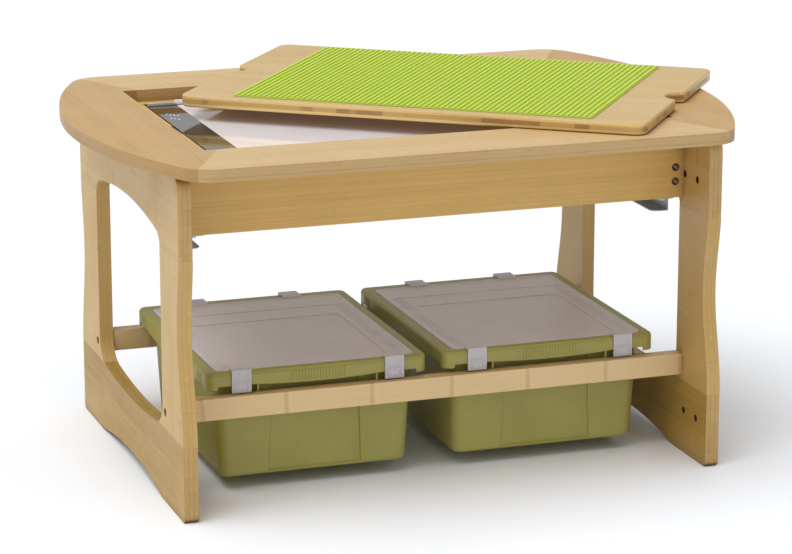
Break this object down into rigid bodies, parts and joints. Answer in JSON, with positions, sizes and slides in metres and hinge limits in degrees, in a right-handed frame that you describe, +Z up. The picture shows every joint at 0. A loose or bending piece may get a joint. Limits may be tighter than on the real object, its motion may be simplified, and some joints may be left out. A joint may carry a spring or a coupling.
{
  "type": "activity table",
  "caption": "Low bamboo play table with a ring top, light panel in its recess, loose board with a stud plate, and lidded storage tubs hung on lower rails.",
  "frame": {"origin": "on the floor, under the middle of the bounding box, which includes the board as it lies across the top", "axes": "+X along the length of the table to the right, -Y towards the front, +Z up"},
  "size_m": [0.9456, 0.7384, 0.5032],
  "materials": {
    "bamboo_light": "satin lacquer",
    "bamboo_warm": "satin lacquer",
    "zinc_steel": "zinc plated",
    "storage_steel": "galvanised sheet",
    "antique_bronze": "dark plated",
    "insert_brass": "plain",
    "white_abs": "moulded",
    "clear_acrylic": "clear",
    "white_diffuser": "opal",
    "smoked_panel": "smoked gloss",
    "edge_aluminium": "brushed",
    "led_tape": "flexible strip",
    "circuit_board": "solder mask",
    "black_abs": "moulded",
    "stud_green": "moulded",
    "tub_green": "fine texture",
    "lid_translucent": "frosted",
    "clip_translucent": "frosted"
  },
  "bodies": {
    "table": {"top_front_rail": "bamboo_light", "top_back_rail": "bamboo_light", "top_left_end": "bamboo_light", "top_right_end": "bamboo_light", "ledge_front": "bamboo_warm", "ledge_back": "bamboo_warm", "ledge_left": "bamboo_warm", "ledge_right": "bamboo_warm", "ledge_screws": "zinc_steel", "top_dowels": "bamboo_light", "leg_front_left": "bamboo_light", "leg_rear_left": "bamboo_light", "leg_front_right": "bamboo_light", "leg_rear_right": "bamboo_light", "foot_left": "bamboo_warm", "foot_right": "bamboo_warm", "crown_left": "bamboo_light", "crown_right": "bamboo_light", "apron_front": "bamboo_warm", "apron_back": "bamboo_warm", "apron_barrel_nuts": "antique_bronze", "apron_bolts": "zinc_steel", "apron_bolt_plugs": "bamboo_light", "lower_rail_front": "bamboo_light", "lower_rail_back": "bamboo_light", "lower_rail_bolts": "antique_bronze", "lower_rail_inserts": "insert_brass", "storage_rail_left": "storage_steel", "storage_rail_right": "storage_steel", "storage_rail_screws": "zinc_steel"},
    "light_panel": {"light_housing": "white_abs", "light_reflector": "white_abs", "light_guide": "clear_acrylic", "light_diffuser": "white_diffuser", "light_control_bar": "smoked_panel", "light_edge_strip": "edge_aluminium", "led_strip": "led_tape", "touch_board": "circuit_board", "lead_block": "white_abs", "dc_inlet": "black_abs"},
    "board": {"activity_board": "bamboo_light", "stud_plate": "stud_green"},
    "tub_left": {"tub_left": "tub_green"},
    "tub_right": {"tub_right": "tub_green"},
    "lid_left": {"lid_left": "lid_translucent"},
    "lid_right": {"lid_right": "lid_translucent"},
    "clip_left_front_a": {"clip_left_front_a": "clip_translucent"},
    "clip_left_front_b": {"clip_left_front_b": "clip_translucent"},
    "clip_left_back_a": {"clip_left_back_a": "clip_translucent"},
    "clip_left_back_b": {"clip_left_back_b": "clip_translucent"},
    "clip_right_front_a": {"clip_right_front_a": "clip_translucent"},
    "clip_right_front_b": {"clip_right_front_b": "clip_translucent"},
    "clip_right_back_a": {"clip_right_back_a": "clip_translucent"},
    "clip_right_back_b": {"clip_right_back_b": "clip_translucent"}
  },
  "joints": [
    {"name": "light_panel_lift", "type": "slide", "parent": "table", "child": "light_panel", "axis": [0, 0, 1], "range_m": [0, 0.013]},
    {"name": "board_lift", "type": "slide", "parent": "table", "child": "board", "axis": [0, 0, 1], "range_m": [0, 0.2]},
    {"name": "tub_left_lift", "type": "slide", "parent": "table", "child": "tub_left", "axis": [0, 0, 1], "range_m": [0, 0.125]},
    {"name": "tub_right_lift", "type": "slide", "parent": "table", "child": "tub_right", "axis": [0, 0, 1], "range_m": [0, 0.125]},
    {"name": "lid_left_lift", "type": "slide", "parent": "tub_left", "child": "lid_left", "axis": [0, 0, 1], "range_m": [0, 0.035]},
    {"name": "lid_right_lift", "type": "slide", "parent": "tub_right", "child": "lid_right", "axis": [0, 0, 1], "range_m": [0, 0.035]},
    {"name": "clip_left_front_a_hinge", "type": "hinge", "parent": "lid_left", "child": "clip_left_front_a", "pos_m": [-0.29381, -0.2187, 0.174], "axis": [-1, 0, 0], "range_deg": [0, 100]},
    {"name": "clip_left_front_b_hinge", "type": "hinge", "parent": "lid_left", "child": "clip_left_front_b", "pos_m": [-0.07781, -0.2187, 0.174], "axis": [-1, 0, 0], "range_deg": [0, 100]},
    {"name": "clip_left_back_a_hinge", "type": "hinge", "parent": "lid_left", "child": "clip_left_back_a", "pos_m": [-0.25581, 0.1263, 0.174], "axis": [1, 0, 0], "range_deg": [0, 100]},
    {"name": "clip_left_back_b_hinge", "type": "hinge", "parent": "lid_left", "child": "clip_left_back_b", "pos_m": [-0.11581, 0.1263, 0.174], "axis": [1, 0, 0], "range_deg": [0, 100]},
    {"name": "clip_right_front_a_hinge", "type": "hinge", "parent": "lid_right", "child": "clip_right_front_a", "pos_m": [0.04219, -0.2187, 0.174], "axis": [-1, 0, 0], "range_deg": [0, 100]},
    {"name": "clip_right_front_b_hinge", "type": "hinge", "parent": "lid_right", "child": "clip_right_front_b", "pos_m": [0.25819, -0.2187, 0.174], "axis": [-1, 0, 0], "range_deg": [0, 100]},
    {"name": "clip_right_back_a_hinge", "type": "hinge", "parent": "lid_right", "child": "clip_right_back_a", "pos_m": [0.08019, 0.1263, 0.174], "axis": [1, 0, 0], "range_deg": [0, 100]},
    {"name": "clip_right_back_b_hinge", "type": "hinge", "parent": "lid_right", "child": "clip_right_back_b", "pos_m": [0.22019, 0.1263, 0.174], "axis": [1, 0, 0], "range_deg": [0, 100]}
  ]
}
